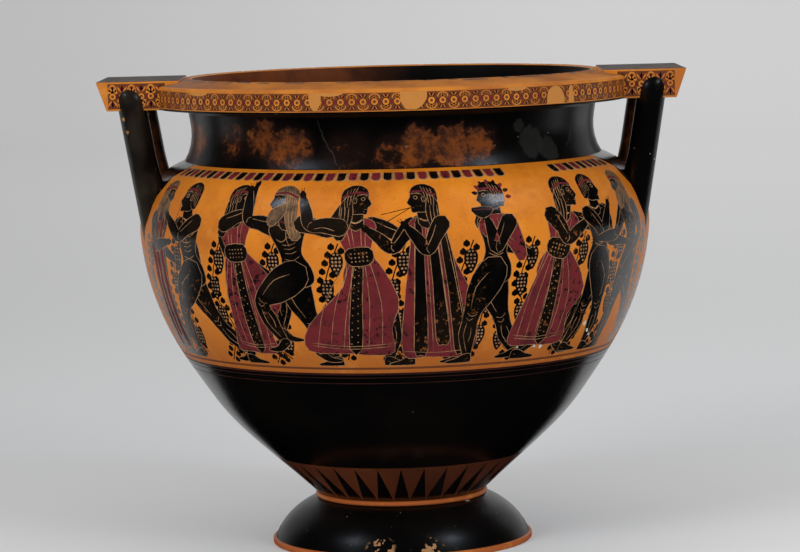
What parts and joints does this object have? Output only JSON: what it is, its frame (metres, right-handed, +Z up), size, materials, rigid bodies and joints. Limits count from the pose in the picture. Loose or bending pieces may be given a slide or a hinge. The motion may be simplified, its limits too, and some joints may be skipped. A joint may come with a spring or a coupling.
{
  "type": "column krater",
  "caption": "Ancient Greek column krater: a wide-mouthed bowl of painted, fired clay for mixing wine, with columned handles under flat handle plates and a hollow turned foot.",
  "frame": {"origin": "middle of the foot's underside, on the surface it stands on", "axes": "+Z up along the axis it was turned on, X through both handles, Y through the painted fronts, the main one facing -Y"},
  "size_m": [0.695, 0.6114, 0.565],
  "materials": {
    "painted_clay": "black gloss slip over orange clay, with purple-red added in the figures"
  },
  "bodies": {
    "root": {"krater": "painted_clay"}
  },
  "joints": []
}
